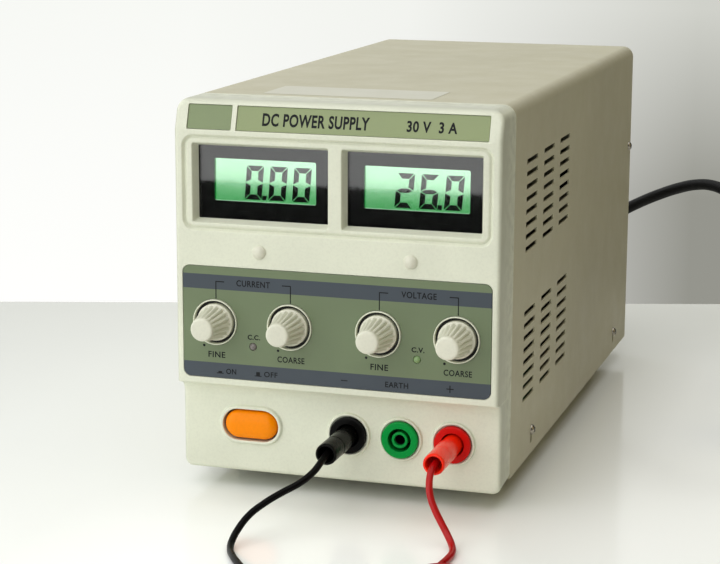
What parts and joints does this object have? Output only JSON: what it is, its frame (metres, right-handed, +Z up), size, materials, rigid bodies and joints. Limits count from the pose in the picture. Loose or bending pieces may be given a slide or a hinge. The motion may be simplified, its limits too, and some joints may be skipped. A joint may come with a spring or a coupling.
{
  "type": "bench power supply",
  "caption": "Bench power supply: moulded front with two displays, four knobs, a push button and three sockets on a vented steel case, with mains cord and two test leads.",
  "frame": {"origin": "on the surface it stands on, below the middle of the case with its knobs and heat sink", "axes": "+X to the operator's right, +Y from the front panel towards the heat sink, +Z up"},
  "size_m": [0.295, 0.4913, 0.163],
  "materials": {
    "cream_plastic": "warm cream moulded ABS with a fine satin texture",
    "cover_paint": "beige-grey powder coat on steel sheet, fine orange peel",
    "green_film": "sage green screen-printed polyester film with slate bands",
    "strip_film": "light sage green inlaid strip",
    "badge_film": "sage green blank inlaid badge",
    "lens": "clear acrylic window in front of each display",
    "lcd": "black display module with a backlit green panel",
    "knob_plastic": "ivory moulded plastic",
    "orange_plastic": "glossy orange push button",
    "black_plastic": "black moulded plastic",
    "green_plastic": "bright green moulded plastic",
    "red_plastic": "red moulded plastic",
    "led_plastic": "clear grey unlit LED",
    "plain_steel": "bright zinc-plated steel",
    "zinc_steel": "stamped zinc-plated steel",
    "black_aluminium": "black anodised extruded aluminium",
    "rubber": "black rubber",
    "board": "green glass-epoxy circuit board",
    "transformer_steel": "laminated core with taped windings",
    "capacitor_sleeve": "dark blue shrink sleeve",
    "cord_rubber": "black PVC-sheathed cord",
    "red_lead": "dark red PVC-insulated flexible lead"
  },
  "bodies": {
    "case": {"front_bezel": "cream_plastic", "control_overlay": "green_film", "title_strip": "strip_film", "badge_strip": "badge_film", "display_window_left": "lens", "lcd_module_left": "lcd", "blanking_plug_left": "cream_plastic", "display_window_right": "lens", "lcd_module_right": "lcd", "blanking_plug_right": "cream_plastic", "current_led": "led_plastic", "voltage_led": "led_plastic", "potentiometer_current_fine": "zinc_steel", "potentiometer_current_coarse": "zinc_steel", "potentiometer_voltage_fine": "zinc_steel", "potentiometer_voltage_coarse": "zinc_steel", "power_switch": "black_plastic", "socket_negative": "black_plastic", "socket_earth": "green_plastic", "socket_positive": "red_plastic", "top_cover": "cover_paint", "base_pan": "cover_paint", "rear_panel": "cover_paint", "foot_front_left": "rubber", "foot_rear_left": "rubber", "cover_screw_left_1": "plain_steel", "cover_screw_left_2": "plain_steel", "cover_screw_left_3": "plain_steel", "foot_front_right": "rubber", "foot_rear_right": "rubber", "cover_screw_right_1": "plain_steel", "cover_screw_right_2": "plain_steel", "cover_screw_right_3": "plain_steel", "heat_sink": "black_aluminium", "pass_transistor": "zinc_steel", "fuse_holder": "black_plastic", "strain_relief": "black_plastic", "transformer": "transformer_steel", "main_board": "board", "filter_capacitor": "capacitor_sleeve", "mains_cord": "cord_rubber", "mains_coil": "cord_rubber", "mains_plug": "black_plastic"},
    "knob_current_fine": {"knob_current_fine": "knob_plastic", "pot_shaft_current_fine": "plain_steel"},
    "knob_current_coarse": {"knob_current_coarse": "knob_plastic", "pot_shaft_current_coarse": "plain_steel"},
    "knob_voltage_fine": {"knob_voltage_fine": "knob_plastic", "pot_shaft_voltage_fine": "plain_steel"},
    "knob_voltage_coarse": {"knob_voltage_coarse": "knob_plastic", "pot_shaft_voltage_coarse": "plain_steel"},
    "power_button": {"power_button": "orange_plastic"},
    "negative_lead": {"plug_negative": "black_plastic", "lead_negative": "cord_rubber", "lead_coil_negative": "cord_rubber", "loose_plug_negative": "black_plastic"},
    "positive_lead": {"plug_positive": "red_plastic", "lead_positive": "red_lead", "lead_coil_positive": "red_lead", "loose_plug_positive": "red_plastic"}
  },
  "joints": [
    {"name": "turn_current_fine", "type": "hinge", "parent": "case", "child": "knob_current_fine", "pos_m": [-0.051, -0.148, 0.072], "axis": [0, -1, 0], "range_deg": [-150, 150]},
    {"name": "turn_current_coarse", "type": "hinge", "parent": "case", "child": "knob_current_coarse", "pos_m": [-0.0189, -0.148, 0.072], "axis": [0, -1, 0], "range_deg": [-150, 150]},
    {"name": "turn_voltage_fine", "type": "hinge", "parent": "case", "child": "knob_voltage_fine", "pos_m": [0.0185, -0.148, 0.072], "axis": [0, -1, 0], "range_deg": [-150, 150]},
    {"name": "turn_voltage_coarse", "type": "hinge", "parent": "case", "child": "knob_voltage_coarse", "pos_m": [0.0509, -0.148, 0.072], "axis": [0, -1, 0], "range_deg": [-150, 150]},
    {"name": "press_power", "type": "slide", "parent": "case", "child": "power_button", "axis": [0, 1, 0], "range_m": [-0.003, 0.0015]},
    {"name": "pull_negative_plug", "type": "slide", "parent": "case", "child": "negative_lead", "axis": [0, -1, 0], "range_m": [0, 0.02]},
    {"name": "pull_positive_plug", "type": "slide", "parent": "case", "child": "positive_lead", "axis": [0, -1, 0], "range_m": [0, 0.02]}
  ]
}
